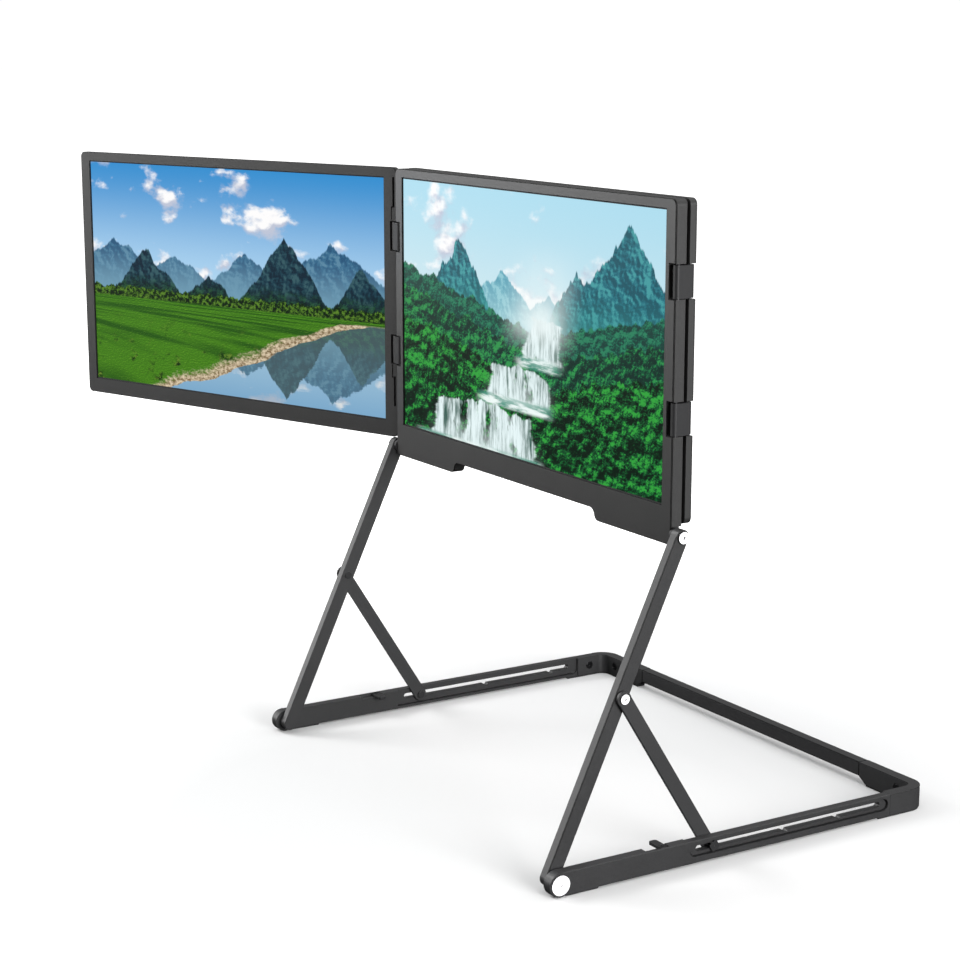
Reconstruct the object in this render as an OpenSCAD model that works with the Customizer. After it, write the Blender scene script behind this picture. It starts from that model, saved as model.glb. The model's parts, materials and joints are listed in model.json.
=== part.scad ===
// Laptop screen extender: a folding stand that carries a centre screen and two side screens.
// The centre screen tilts on two legs, braces hold the legs in a notched slot,
// and each side screen hangs on two-axis links.
// Millimetres, Z up, screens face -Y, origin under the middle of the opened extender.

/* [Screens] */
// Width of the lit picture of the centre screen
lit_w = 344.2; // [300:0.1:400]
// Height of the lit picture of the centre screen
lit_h = 193.6; // [160:0.1:230]
// Size of a side picture against the centre picture
side_scale = 0.9958; // [0.9:0.0001:1]
// Thickness of the centre screen
centre_t = 9.3; // [8.5:0.1:14]
// Thickness of a side screen
side_t = 5.3; // [5.3:0.1:8]
// Bezel left and right of the centre picture
centre_bezel = 10.5; // [10:0.1:20]
// Bezel above the centre picture
centre_bezel_top = 6.8; // [5:0.1:20]
// Bezel below the centre picture
centre_bezel_foot = 25.7; // [24:0.1:40]
// Side screen bezel next to the hinges
side_bezel_in = 12.6; // [12:0.1:20]
// Side screen bezel at the far end
side_bezel_out = 10.7; // [5:0.1:20]
// Side screen bezel above the picture
side_bezel_top = 7.7; // [5:0.1:20]
// Side screen bezel below the picture
side_bezel_foot = 13.0; // [10:0.1:13.4]
// How far the picture lies behind the front face
picture_depth = 1.1; // [0.8:0.1:1.5]
// Corner radius of the screens
screen_r = 4.5; // [2:0.1:8]

/* [Opened pose] */
// Lean of the legs above the table, in degrees
leg_angle = 65.1; // [60:0.1:75]
// How far the left screen is turned towards the user, in degrees
left_turn = 20; // [0:1:25]

/* [Base] */
// Width of a rail
rail_w = 7.6; // [7:0.1:10]
// Top of the base above the table
base_top = 17; // [16.8:0.1:20]
// Thickness of the rubber feet
foot_t = 1.4; // [1:0.1:2]
// Depth of the base, from the leg pivots to the rear face
base_depth = 317.4; // [300:0.1:360]
// Length of a rear corner piece along the rail
corner_len = 36.4; // [30:0.1:45]
// Radius of the rear corners
corner_r = 15; // [10:0.5:20]
// Radius of the round front end of a rail
knuckle_r = 8.3; // [8:0.1:8.4]
// Height of the leg pivot
pivot_z = 8.65; // [8.6:0.05:9]

/* [Legs and braces] */
// Distance between the two pivots of a leg
leg_len = 238.2; // [220:0.1:245]
// Width of a leg
leg_w = 10.5; // [9:0.1:11]
// Thickness of a leg
leg_t = 6.8; // [5:0.1:7]
// Gap between the centre screen and a leg
leg_gap = 3.1; // [3:0.1:5]
// Gap between a leg and a rail, which the spacer ring fills
rail_gap = 2.5; // [2.4:0.1:5]
// Distance from the base pivot to the brace pivot
brace_at = 126.5; // [110:0.1:140]
// Width of a brace
brace_w = 10.4; // [9:0.1:10.8]
// Thickness of a brace
brace_t = 1.8; // [1.5:0.1:2.3]
// Distance of the brace pin from the leg pivot, along the rail
brace_pin_y = 124.1; // [118:0.1:126]
// Height of the brace pin
brace_pin_z = 10.6; // [10:0.1:11]

/* [Side hinges] */
// Height of a hinge link
link_h = 21.5; // [16:0.5:23]
// Distance between the two axes of a link
link_len = 9.5; // [9.4:0.1:10]
// Height of the upper links above the lower edge of the centre picture
link_up_top = 147.4; // [120:0.1:160]
// Height of the lower links above the lower edge of the centre picture
link_up_low = 57.8; // [30:0.1:80]

/* [Hidden] */
$fn = 64;
over = 0.5;            // extra length of a cut
seat_gap = 0.05;       // play between fixed pieces
run_gap = 0.05;        // radial play of a turning pin
face_gap = 0.2;        // side play between turning pieces
edge = 0.5;            // chamfer on long edges
edge_stop = 1.5;       // a chamfer ends this far before a round end

// across: centre screen, gap, leg, gap, rail
centre_half = lit_w / 2 + centre_bezel;
leg_in = centre_half + leg_gap;
leg_out = leg_in + leg_t;
rail_in = leg_out + rail_gap;
base_half = rail_in + rail_w;

// rails
rail_low = foot_t;
rail_end = base_depth - corner_len;
bar_t = 8.9;
bar_front = base_depth - bar_t;
bar_low = foot_t + 4.6;
elbow_in = rail_in - 0.8;
elbow_half = base_half - 57.5;
bar_half = elbow_half - 7.2;
inner_r = 6.2;
slot_z = 10.85;
slot_r = 2.05;
slot_y0 = brace_pin_y - 14.6;
slot_y1 = rail_end - 9;
recess_z = 10.2;
recess_r = 4.5;
recess_depth = 1.4;
recess_y0 = slot_y0 - 5.5;
recess_y1 = rail_end - 2;
recess_floor = base_half - recess_depth;
groove_w = 1;          // dark groove along recess and pocket
groove_floor = recess_floor - 1.8;
pocket_depth = 1.4;
pocket_y0 = slot_y0 - 6.5;
pocket_y1 = rail_end - 0.6;
pocket_low = 3.6;
pocket_floor = rail_in + pocket_depth;
pocket_groove = pocket_floor + 1.8;
front_foot = [4.1, 31];
rear_foot_y = rail_end - 10;
foot_inset = 0.6;
screw_y = rail_end + 12;
screw_x = base_half - 24.1;
screw_z = 9.2;
notch_r = 2;
notch_z = slot_z - slot_r + 0.2;
notches_right = [187, 234.5];
notches_left = [189, 254.5];

// latches
latch_y = slot_y0 - 25.3;
latch_x = base_half - 4.6;
latch_t = 2.2;
latch_w = 6.2;
latch_len = 12.1;
latch_cut_y0 = latch_y - 15.2;
latch_cut_y1 = latch_y + 3.8;
latch_wall = 1.4;
latch_floor = base_top - latch_t - 0.2;
latch_screw_r = 1.5;

// pivots
brace_in = leg_out + 1.5;
brace_out = brace_in + brace_t;
pin_r = 2.5;
mid_pin_r = 2;
top_pin_r = 1.8;
cap_t = 0.6;
base_cap_r = 7;
mid_cap_r = 3.6;
top_cap_r = 4.3;
slide_r = 0.55;
slide_head_r = 3.1;
block_in = base_half + 0.15;
block_t = 0.45;

top_y = leg_len * cos(leg_angle);
top_z = pivot_z + leg_len * sin(leg_angle);
mid_y = brace_at * cos(leg_angle);
mid_z = pivot_z + brace_at * sin(leg_angle);
brace_len = norm([brace_pin_y - mid_y, mid_z - brace_pin_z]);
brace_angle = atan2(brace_pin_z - mid_z, brace_pin_y - mid_y);

// centre screen
lit_low = top_z + 18.7;
centre_front = top_y - 3;
centre_back = centre_front + centre_t;
centre_low = lit_low - centre_bezel_foot;
centre_top = lit_low + lit_h + centre_bezel_top;
foot_notch_z = centre_low + 8.3;
ear_corner_r = 1.5;
foot_notch_half = 99.3;
foot_notch_turn = 76;
foot_notch_r = (foot_notch_z - centre_low) / (2 - 2 * cos(foot_notch_turn));
foot_notch_top = foot_notch_half - 2 * foot_notch_r * sin(foot_notch_turn);
side_cut_z = top_z + 5.1;
side_cut = 3;
bezel_t = picture_depth - seat_gap;
cover_t = 1.5;         // back wall of the centre screen
lcd_t = 2.4;
lcd_play = 0.3;        // play around the display
lcd_edge = 2.2;        // how far the display reaches past the lit picture
lcd_edge_top = 3.5;
lcd_edge_foot = 6;
board_w = lit_w * 0.35;
board_h = lit_h * 0.26;
socket_x = [-30, -12];
hub_r = 4.6;
hub_bore_end = centre_half - side_cut + 0.8;

// side hinges
axis_x = centre_half - 2;
axis_y = centre_front + 3.95;
barrel_r = 3;
link_half = 3.9;
link_front_r = 2.2;
link_block = 6.1;
ear_r = 2.6;
hinge_gap = 0.3;
hinge_notch_x = axis_x - link_half - hinge_gap;
notch_h = link_h + 1.5;
side_axis_in = 3;
side_axis_back = side_t / 2;
side_notch = side_axis_in + ear_r + hinge_gap;
hinge_pin_r = 1.5;
side_pin_r = 0.9;
pin_reach = 9;
link_z_top = lit_low + link_up_top;
link_z_low = lit_low + link_up_low;
link_heights = [link_z_top, link_z_low];

// side screens
side_lit_w = lit_w * side_scale;
side_lit_h = lit_h * side_scale;
side_w = side_bezel_in + side_lit_w + side_bezel_out;
side_low = top_z + leg_w / 2 + 0.6;
side_h = side_bezel_foot + side_lit_h + side_bezel_top;
side_lcd_t = 1.7;
side_cover_t = 1;      // back wall of a side screen
slot_in = [1.7, 3.2];  // relief slots beside the hinge edge
slot_far = [22, 45.6]; // their ends, from the middle of a link
step_in = [4.4, 5];
step_far = [12.7, 22.3];
relief_t = 1.6;

// the opened left screen reaches farthest, and sets the middle of the whole object
left_x = -(axis_x + link_len) + side_axis_in * cos(left_turn) + side_axis_back * sin(left_turn);
left_y = axis_y + side_axis_in * sin(left_turn) - side_axis_back * cos(left_turn);
reach_x = left_x - side_w * cos(left_turn);
reach_y = left_y - side_w * sin(left_turn);
right_x = base_half + cap_t + 0.05;
mid_x = (reach_x + right_x) / 2;
mid_depth = (reach_y + base_depth) / 2;

body_dark = [0.27, 0.27, 0.3];
part_dark = [0.2, 0.2, 0.22];
cap_white = [0.93, 0.93, 0.94];
steel = [0.6, 0.6, 0.62];
rubber = [0.12, 0.12, 0.13];
board_green = [0.1, 0.35, 0.2];

// ---- helpers ----

// moves the model so that the origin lies under its middle
module place() {
    translate([-mid_x, -mid_depth, 0]) children();
}

// the same piece on the left and on the right
module pair() {
    children();
    mirror([1, 0, 0]) children();
}

// side view (y, z) pulled along X from x0 to x1
module slab(x0, x1) {
    translate([x0, 0, 0]) rotate([90, 0, 90]) linear_extrude(x1 - x0) children();
}

// front view (x, z) pulled along Y from y0 to y1
module sheet(y0, y1) {
    translate([0, y1, 0]) rotate([90, 0, 0]) linear_extrude(y1 - y0) children();
}

// pin along X
module pin_x(r, x0, x1, y, z) {
    translate([x0, y, z]) rotate([0, 90, 0]) cylinder(r = r, h = x1 - x0);
}

// bar with round ends between two points
module capsule(a, b, w) {
    len = norm(b - a);
    translate(a) rotate(atan2(b[1] - a[1], b[0] - a[0])) {
        translate([0, -w / 2]) square([len, w]);
        circle(w / 2);
        translate([len, 0]) circle(w / 2);
    }
}

// rectangle with round corners, from corner a to corner b
module round_rect(a, b, r) {
    translate(a + [r, 0]) square([b[0] - a[0] - 2 * r, b[1] - a[1]]);
    translate(a + [0, r]) square([b[0] - a[0], b[1] - a[1] - 2 * r]);
    for (x = [a[0] + r, b[0] - r], z = [a[1] + r, b[1] - r]) translate([x, z]) circle(r);
}

// rectangle from corner a to corner b
module rect(a, b) {
    translate(a) square(b - a);
}

// cuts a chamfer along Y at the corner (x, z); up is 1 for an upper edge and -1 for a lower one
module edge_y(x, z, up, y0, y1) {
    translate([x, 0, z]) sheet(y0, y1)
        polygon([[-edge, 0], [-edge, up * over], [over, up * over], [over, -up * edge], [0, -up * edge]]);
}

// ---- base ----

module rail_side() {
    rect([0, rail_low], [rail_end - seat_gap, base_top]);
    translate([0, pivot_z]) circle(knuckle_r);
}

module rail(notches) {
    difference() {
        slab(rail_in, base_half) rail_side();
        // long recess on the outside
        slab(recess_floor, base_half + over)
            capsule([recess_y0 + recess_r, recess_z], [recess_y1 - recess_r, recess_z], 2 * recess_r);
        // groove along its lower edge and around its rear end
        slab(groove_floor, base_half) difference() {
            capsule([recess_y0 + recess_r, recess_z], [recess_y1 - recess_r, recess_z], 2 * recess_r);
            capsule([recess_y0 + recess_r, recess_z], [recess_y1 - recess_r, recess_z],
                2 * (recess_r - groove_w));
            rect([recess_y0 - over, recess_z], [recess_y1 - recess_r, base_top]);
        }
        // pocket on the inside, open at the top
        slab(rail_in - over, pocket_floor) {
            rect([pocket_y0, pocket_low], [pocket_y1 - recess_r, base_top + over]);
            rect([pocket_y0, pocket_low + recess_r], [pocket_y1, base_top + over]);
            translate([pocket_y1 - recess_r, pocket_low + recess_r]) circle(recess_r);
        }
        slab(rail_in, pocket_groove)
            rect([pocket_y0, pocket_low], [pocket_y1 - recess_r, pocket_low + groove_w]);
        // slot with notches for the brace pin
        slab(rail_in - over, base_half + over) {
            capsule([slot_y0 + slot_r, slot_z], [slot_y1 - slot_r, slot_z], 2 * slot_r);
            for (y = concat([brace_pin_y], notches)) translate([y, notch_z]) circle(notch_r);
        }
        // room for the latch
        slab(rail_in - over, base_half - latch_wall)
            polygon([[latch_cut_y0, base_top + over], [latch_cut_y0, base_top],
                [latch_cut_y0 + 1, base_top - 1], [latch_cut_y0 + 1, latch_floor],
                [latch_cut_y1, latch_floor], [latch_cut_y1, base_top + over]]);
        translate([latch_x, latch_y, pivot_z - 2]) cylinder(r = latch_screw_r, h = base_top);
        pin_x(pin_r + seat_gap, rail_in - over, base_half + over, 0, pivot_z);
        edge_y(base_half, base_top, 1, edge_stop, rail_end + over);
    }
}

module rail_right() {
    color(body_dark) place() rail(notches_right);
}

module rail_left() {
    color(body_dark) place() mirror([1, 0, 0]) rail(notches_left);
}

// plan of one rear corner, drawn in by an inset
module corner_plan(bar_x, rail_y, inset) {
    x_out = base_half - inset;
    y_out = base_depth - inset;
    x_in = elbow_in + inset;
    y_in = bar_front + inset;
    difference() {
        union() {
            rect([bar_x, rail_y], [base_half - corner_r, y_out]);
            rect([bar_x, rail_y], [x_out, base_depth - corner_r]);
            translate([base_half - corner_r, base_depth - corner_r]) circle(corner_r - inset);
        }
        rect([bar_x - over, rail_y - over], [x_in - inner_r, y_in]);
        rect([bar_x - over, rail_y - over], [x_in, y_in - inner_r]);
        translate([x_in - inner_r, y_in - inner_r]) circle(inner_r);
    }
}

module screw_seat() {
    cylinder(r = 3.2, h = 2.4, center = true);
    cylinder(r = 1.25, h = 8, center = true);
}

module corner() {
    difference() {
        translate([0, 0, rail_low]) linear_extrude(base_top - rail_low)
            corner_plan(bar_half + seat_gap, rail_end, 0);
        // underside rises to the crossbar
        sheet(bar_front - over, base_depth + over)
            polygon([[elbow_half, rail_low - over], [elbow_half, rail_low], [bar_half, bar_low],
                [bar_half - over, bar_low], [bar_half - over, rail_low - over]]);
        translate([elbow_in, screw_y, screw_z]) rotate([0, 90, 0]) screw_seat();
        translate([screw_x, bar_front, screw_z]) rotate([90, 0, 0]) screw_seat();
        edge_y(base_half, base_top, 1, rail_end - over, base_depth - corner_r - edge_stop);
    }
}

module corner_right() {
    color(body_dark) place() corner();
}

module corner_left() {
    color(body_dark) place() mirror([1, 0, 0]) corner();
}

module crossbar() {
    color(body_dark) place() difference() {
        translate([-bar_half, bar_front, bar_low]) cube([2 * bar_half, bar_t, base_top - bar_low]);
        // hollow profile
        translate([-bar_half - over, bar_front + 2, bar_low + 2])
            cube([2 * bar_half + 2 * over, bar_t - 4, base_top - bar_low - 4]);
    }
}

module front_feet() {
    color(rubber) place() pair() linear_extrude(foot_t - seat_gap)
        round_rect([rail_in + foot_inset, front_foot[0]], [base_half - foot_inset, front_foot[1]], 2);
}

module rear_feet() {
    color(rubber) place() pair() linear_extrude(foot_t - seat_gap)
        corner_plan(elbow_half, rear_foot_y, foot_inset);
}

module corner_screw() {
    difference() {
        union() {
            translate([0, 0, -1.15]) cylinder(r = 2.7, h = 1);
            translate([0, 0, -3.9]) cylinder(r = 1.2, h = 3.2);
        }
        translate([0, 0, -0.7]) cylinder(r = 0.9, h = 1);
    }
}

module corner_screws() {
    color(steel) place() pair() {
        translate([elbow_in, screw_y, screw_z]) rotate([0, -90, 0]) corner_screw();
        translate([screw_x, bar_front, screw_z]) rotate([90, 0, 0]) corner_screw();
    }
}

// pin through rail and leg, with the spacer ring between them
module base_pins() {
    color(part_dark) place() pair() {
        pin_x(pin_r, leg_in + 1.4, base_half, 0, pivot_z);
        pin_x(leg_w / 2 - 0.4, leg_out + face_gap, rail_in - seat_gap, 0, pivot_z);
    }
}

module base_caps() {
    color(cap_white) place() pair() difference() {
        pin_x(base_cap_r, base_half + seat_gap, right_x, 0, pivot_z);
        pin_x(0.9, right_x - 0.3, right_x + over, 0, pivot_z);
    }
}

// ---- latches ----

module latch() {
    half = latch_w / 2;
    tip = latch_x - latch_len;
    difference() {
        translate([0, 0, base_top - latch_t]) linear_extrude(latch_t) {
            translate([latch_x, latch_y]) circle(half);
            rect([tip + 2.5, latch_y - half], [latch_x, latch_y + half]);
            round_rect([tip, latch_y - half], [tip + 5, latch_y + half], 1.9);
        }
        translate([latch_x, latch_y, 0]) cylinder(r = latch_screw_r + run_gap, h = base_top + over);
        translate([latch_x, latch_y, base_top - 1.1]) cylinder(r = 2.6, h = 2);
    }
}

module latch_right() {
    color(part_dark) place() latch();
}

module latch_left() {
    color(part_dark) place() mirror([1, 0, 0]) latch();
}

module latch_screws() {
    color(steel) place() pair() difference() {
        union() {
            translate([latch_x, latch_y, base_top - 1.05]) cylinder(r = 2.4, h = 0.95);
            translate([latch_x, latch_y, pivot_z - 1.9]) cylinder(r = latch_screw_r, h = base_top - pivot_z + 1);
        }
        translate([latch_x - 0.3, latch_y - 1.8, base_top - 0.6]) cube([0.6, 3.6, 1]);
        translate([latch_x - 1.8, latch_y - 0.3, base_top - 0.6]) cube([3.6, 0.6, 1]);
    }
}

// ---- legs ----

module leg() {
    difference() {
        slab(leg_in, leg_out) difference() {
            capsule([0, pivot_z], [top_y, top_z], leg_w);
            translate([mid_y, mid_z]) circle(mid_pin_r + seat_gap);
            translate([top_y, top_z]) circle(top_pin_r + seat_gap);
        }
        pin_x(pin_r + run_gap, leg_in + 1.2, leg_out + over, 0, pivot_z);
        // chamfers on the outer long edges
        for (s = [-1, 1]) translate([leg_out, 0, pivot_z]) rotate([leg_angle, 0, 0])
            edge_y(0, s * leg_w / 2, s, edge_stop, leg_len - edge_stop);
    }
}

module leg_right() {
    color(body_dark) place() leg();
}

module leg_left() {
    color(body_dark) place() mirror([1, 0, 0]) leg();
}

module brace_pins() {
    color(part_dark) place() pair() {
        pin_x(mid_pin_r, leg_in - 0.6, brace_out + 0.1, mid_y, mid_z);
        pin_x(3, leg_in - 0.9, leg_in - seat_gap, mid_y, mid_z);
        // washer between leg and brace
        pin_x(mid_cap_r, leg_out + seat_gap, brace_in - face_gap, mid_y, mid_z);
    }
}

module brace_caps() {
    color(cap_white) place() pair() difference() {
        pin_x(mid_cap_r, brace_out + 0.15, brace_out + 1, mid_y, mid_z);
        pin_x(0.7, brace_out + 0.6, brace_out + 1 + over, mid_y, mid_z);
    }
}

module top_pins() {
    color(part_dark) place() pair()
        pin_x(top_pin_r, hub_bore_end + 0.2, leg_out + 0.1, top_y, top_z);
}

module top_caps() {
    color(cap_white) place() pair() difference() {
        pin_x(top_cap_r, leg_out + 0.15, leg_out + 1.5, top_y, top_z);
        pin_x(0.8, leg_out + 1, leg_out + 1.5 + over, top_y, top_z);
    }
}

// ---- braces ----

module brace() {
    difference() {
        slab(brace_in, brace_out) difference() {
            capsule([mid_y, mid_z], [brace_pin_y, brace_pin_z], brace_w);
            translate([mid_y, mid_z]) circle(mid_pin_r + run_gap);
            translate([brace_pin_y, brace_pin_z]) circle(slide_r + seat_gap);
        }
        for (s = [-1, 1]) translate([brace_out, mid_y, mid_z]) rotate([brace_angle, 0, 0])
            edge_y(0, s * brace_w / 2, s, edge_stop, brace_len - edge_stop);
    }
}

module brace_right() {
    color(body_dark) place() brace();
}

module brace_left() {
    color(body_dark) place() mirror([1, 0, 0]) brace();
}

// thin pin that runs in the slot, with a flat head on the inside
module slide_pins() {
    color(part_dark) place() pair() {
        pin_x(slide_r, brace_in - 0.6, block_in + block_t, brace_pin_y, brace_pin_z);
        pin_x(slide_head_r, brace_in - 1.2, brace_in - seat_gap, brace_pin_y, brace_pin_z);
    }
}

module slide_blocks() {
    color(part_dark) place() pair() difference() {
        translate([0, brace_pin_y, brace_pin_z]) rotate([brace_angle, 0, 0])
            slab(block_in, block_in + block_t) round_rect([-3.25, -3.4], [3.25, 3.4], 1.4);
        pin_x(slide_r + seat_gap, block_in - over, block_in + block_t + over, brace_pin_y, brace_pin_z);
    }
}

// ---- screens ----

// front outline of the centre screen, with a raised lower edge between its two ears
module centre_outline(half) {
    difference() {
        union() {
            rect([-half, centre_low + ear_corner_r], [half, centre_top - screen_r]);
            rect([-half + ear_corner_r, centre_low], [half - ear_corner_r, centre_top - screen_r]);
            rect([-half + screen_r, centre_low + ear_corner_r], [half - screen_r, centre_top]);
            for (s = [-1, 1]) {
                translate([s * (half - ear_corner_r), centre_low + ear_corner_r]) circle(ear_corner_r);
                translate([s * (half - screen_r), centre_top - screen_r]) circle(screen_r);
            }
        }
        foot_notch();
    }
}

// raised part of the lower edge; each end is an S of two arcs
module foot_notch() {
    difference() {
        union() {
            polygon([[-foot_notch_half, centre_low - over], [-foot_notch_half, centre_low],
                [-foot_notch_top, foot_notch_z], [foot_notch_top, foot_notch_z],
                [foot_notch_half, centre_low], [foot_notch_half, centre_low - over]]);
            for (s = [-1, 1])
                translate([s * foot_notch_top, foot_notch_z - foot_notch_r]) circle(foot_notch_r);
        }
        for (s = [-1, 1])
            translate([s * foot_notch_half, centre_low + foot_notch_r]) circle(foot_notch_r);
    }
}

// notches for the links at the sides of the centre screen
module link_notches() {
    for (s = [0, 1], z = link_heights) mirror([s, 0])
        rect([hinge_notch_x, z - notch_h / 2], [centre_half + over, z + notch_h / 2]);
}

module centre_bezel() {
    color(body_dark) place() sheet(centre_front, centre_front + bezel_t) difference() {
        centre_outline(centre_half);
        link_notches();
        rect([-lit_w / 2, lit_low], [lit_w / 2, lit_low + lit_h]);
    }
}

module centre_lcd() {
    color([0.35, 0.5, 0.65]) place()
        sheet(centre_front + picture_depth, centre_front + picture_depth + lcd_t)
            rect([-lit_w / 2 - lcd_edge, lit_low - lcd_edge_foot],
                [lit_w / 2 + lcd_edge, lit_low + lit_h + lcd_edge_top]);
}

module centre_cover() {
    front = centre_front + picture_depth;
    back = centre_back - cover_t;
    color(body_dark) place() difference() {
        sheet(front, centre_back) difference() {
            centre_outline(centre_half);
            link_notches();
            // room for the tilt hubs
            for (s = [0, 1]) mirror([s, 0])
                rect([centre_half - side_cut, centre_low - over], [centre_half + over, side_cut_z]);
        }
        // room for the display
        sheet(front - over, back)
            rect([-lit_w / 2 - lcd_edge - lcd_play, lit_low - lcd_edge_foot - lcd_play],
                [lit_w / 2 + lcd_edge + lcd_play, lit_low + lit_h + lcd_edge_top + lcd_play]);
        // cable sockets in the lower edge
        for (x = socket_x) translate([x, front + 3.1, foot_notch_z - over])
            linear_extrude(lit_low - lcd_edge_foot - foot_notch_z + over) round_rect([-4.5, -1.6], [4.5, 1.6], 1.5);
        for (s = [-1, 1], z = link_heights)
            translate([s * axis_x, axis_y, z - notch_h / 2 - pin_reach])
                cylinder(r = hinge_pin_r + seat_gap, h = notch_h + 2 * pin_reach);
        // chamfers at the back
        for (s = [-1, 1]) translate([s * centre_half, centre_back, side_cut_z]) rotate([0, 0, 45])
            translate([-edge * 0.7, -edge * 0.7, 0]) cube([edge * 1.4, edge * 1.4, centre_top]);
    }
}

module centre_board() {
    front = centre_front + picture_depth + lcd_t;
    chip = board_h * 0.4;
    color(board_green) place() {
        sheet(front + 0.6, front + 2.2) rect([-board_w / 2, lit_low], [board_w / 2, lit_low + board_h]);
        // edge strip towards the display
        sheet(front + seat_gap, front + 0.6) rect([-board_w / 2, lit_low], [board_w / 2, lit_low + 6]);
        for (x = [-board_w / 4, board_w / 6]) sheet(front + 2.2, centre_back - cover_t - seat_gap)
            rect([x, lit_low + chip], [x + chip, lit_low + 2 * chip]);
    }
}

// bearing blocks for the top pins
module tilt_hubs() {
    color(part_dark) place() pair() difference() {
        union() {
            pin_x(hub_r, centre_half + 0.1, leg_in - face_gap, top_y, top_z);
            intersection() {
                pin_x(hub_r, centre_half - side_cut + seat_gap, centre_half + 0.2, top_y, top_z);
                translate([0, centre_front + picture_depth, centre_low])
                    cube([base_half, centre_t - picture_depth, side_cut_z - centre_low]);
            }
        }
        pin_x(top_pin_r + run_gap, hub_bore_end, leg_in + over, top_y, top_z);
    }
}

// fixed pins of the centre screen for the four links
module centre_pins() {
    color(steel) place() for (s = [-1, 1], z = link_heights)
        translate([s * axis_x, axis_y, z - notch_h / 2 - pin_reach + 0.5])
            cylinder(r = hinge_pin_r, h = notch_h + 2 * pin_reach - 1);
}

// ---- hinge links ----

// plan of a link: first axis at the origin, second axis along +X; front is -Y
module link_plan(shouldered) {
    difference() {
        union() {
            circle(shouldered ? barrel_r : link_half);
            translate([0, -link_half]) square([link_block, 2 * link_half]);
            translate([0, -ear_r]) square([link_len, 2 * ear_r]);
            translate([link_len, 0]) circle(ear_r);
            // shoulder that closes the corner of the notch
            if (shouldered) {
                translate([-link_half + link_front_r, 0]) square([link_half, link_half]);
                translate([-link_half, 0]) square([link_half, link_half - link_front_r]);
                translate([-link_half + link_front_r, link_half - link_front_r]) circle(link_front_r);
            }
        }
        circle(hinge_pin_r + run_gap);
        translate([link_len, 0]) circle(side_pin_r + seat_gap);
    }
}

module link(z, turn, shouldered) {
    translate([0, 0, z - link_h / 2]) linear_extrude(link_h)
        translate([0, axis_y]) rotate(turn) link_plan(shouldered);
}

module left_link_top() {
    color(part_dark) place() translate([-axis_x, 0, 0]) link(link_z_top, 180, false);
}

module left_link_low() {
    color(part_dark) place() translate([-axis_x, 0, 0]) link(link_z_low, 180, false);
}

module right_link_top() {
    color(part_dark) place() translate([axis_x, 0, 0]) mirror([1, 0, 0]) link(link_z_top, 90, true);
}

module right_link_low() {
    color(part_dark) place() translate([axis_x, 0, 0]) mirror([1, 0, 0]) link(link_z_low, 90, true);
}

// pins of a side screen, fixed in its links
module side_pins() {
    for (z = link_heights) translate([0, 0, z - notch_h / 2 - pin_reach + 0.5])
        cylinder(r = side_pin_r, h = notch_h + 2 * pin_reach - 1);
}

module left_pins() {
    color(steel) place() translate([-axis_x - link_len, axis_y, 0]) side_pins();
}

module right_pins() {
    color(steel) place() translate([axis_x, axis_y + link_len, 0]) side_pins();
}

// ---- side screens ----
// Drawn with the hinge edge at X = 0, the far end along +X, the front at Y = 0 facing -Y.

module side_outline() {
    difference() {
        round_rect([0, 0], [side_w, side_h], screen_r);
        side_link_notches();
    }
}

module side_link_notches() {
    for (z = link_heights)
        rect([-over, z - side_low - notch_h / 2], [side_notch, z - side_low + notch_h / 2]);
}

// slots above the upper links and below the lower links, each with a narrow step
module side_relief() {
    for (s = [0, 1]) translate([0, link_heights[s] - side_low]) mirror([0, s]) {
        rect([slot_in[0], slot_far[0]], [slot_in[1], slot_far[1]]);
        rect([slot_in[0], slot_far[0]], [step_in[1], slot_far[0] + 0.6]);
        rect([step_in[0], step_far[0]], [step_in[1], step_far[1]]);
    }
}

module side_bezel_shape() {
    sheet(0, bezel_t) difference() {
        side_outline();
        side_relief();
        rect([side_bezel_in, side_bezel_foot], [side_bezel_in + side_lit_w, side_bezel_foot + side_lit_h]);
    }
}

module side_lcd_shape() {
    sheet(picture_depth, picture_depth + side_lcd_t)
        rect([side_bezel_in - lcd_edge, side_bezel_foot - lcd_edge_top],
            [side_bezel_in + side_lit_w + lcd_edge, side_bezel_foot + side_lit_h + lcd_edge_top]);
}

module side_cover_shape() {
    far = side_bezel_in + side_lit_w + lcd_edge + lcd_play;
    top = side_bezel_foot + side_lit_h + lcd_edge_top + lcd_play;
    difference() {
        sheet(picture_depth, side_t) side_outline();
        sheet(picture_depth - over, side_t - side_cover_t)
            rect([side_bezel_in - lcd_edge - lcd_play, side_bezel_foot - lcd_edge_top - lcd_play], [far, top]);
        for (s = [0, 1]) translate([0, 0, link_heights[s] - side_low]) mirror([0, 0, s])
            sheet(picture_depth - over, picture_depth + relief_t)
                rect([slot_in[0], slot_far[0]], [slot_in[1], slot_far[1]]);
        for (z = link_heights)
            translate([side_axis_in, side_axis_back, z - side_low - notch_h / 2 - pin_reach])
                cylinder(r = side_pin_r + run_gap, h = notch_h + 2 * pin_reach);
    }
}

module side_board_shape() {
    back = picture_depth + side_lcd_t;
    sheet(back + seat_gap, side_t - side_cover_t - seat_gap)
        rect([side_w * 0.12, side_h * 0.1], [side_w * 0.38, side_h * 0.26]);
}

// opened left screen
module at_left() {
    place() translate([left_x, left_y, side_low]) rotate([0, 0, left_turn])
        mirror([1, 0, 0]) children();
}

// right screen folded behind the centre screen
module at_right() {
    place() translate([axis_x + side_axis_in, axis_y + link_len + side_axis_back, side_low])
        rotate([0, 0, 180]) children();
}

module left_bezel() {
    color(body_dark) at_left() side_bezel_shape();
}

module left_lcd() {
    color([0.35, 0.6, 0.5]) at_left() side_lcd_shape();
}

module left_cover() {
    color(body_dark) at_left() side_cover_shape();
}

module left_board() {
    color(board_green) at_left() side_board_shape();
}

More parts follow.
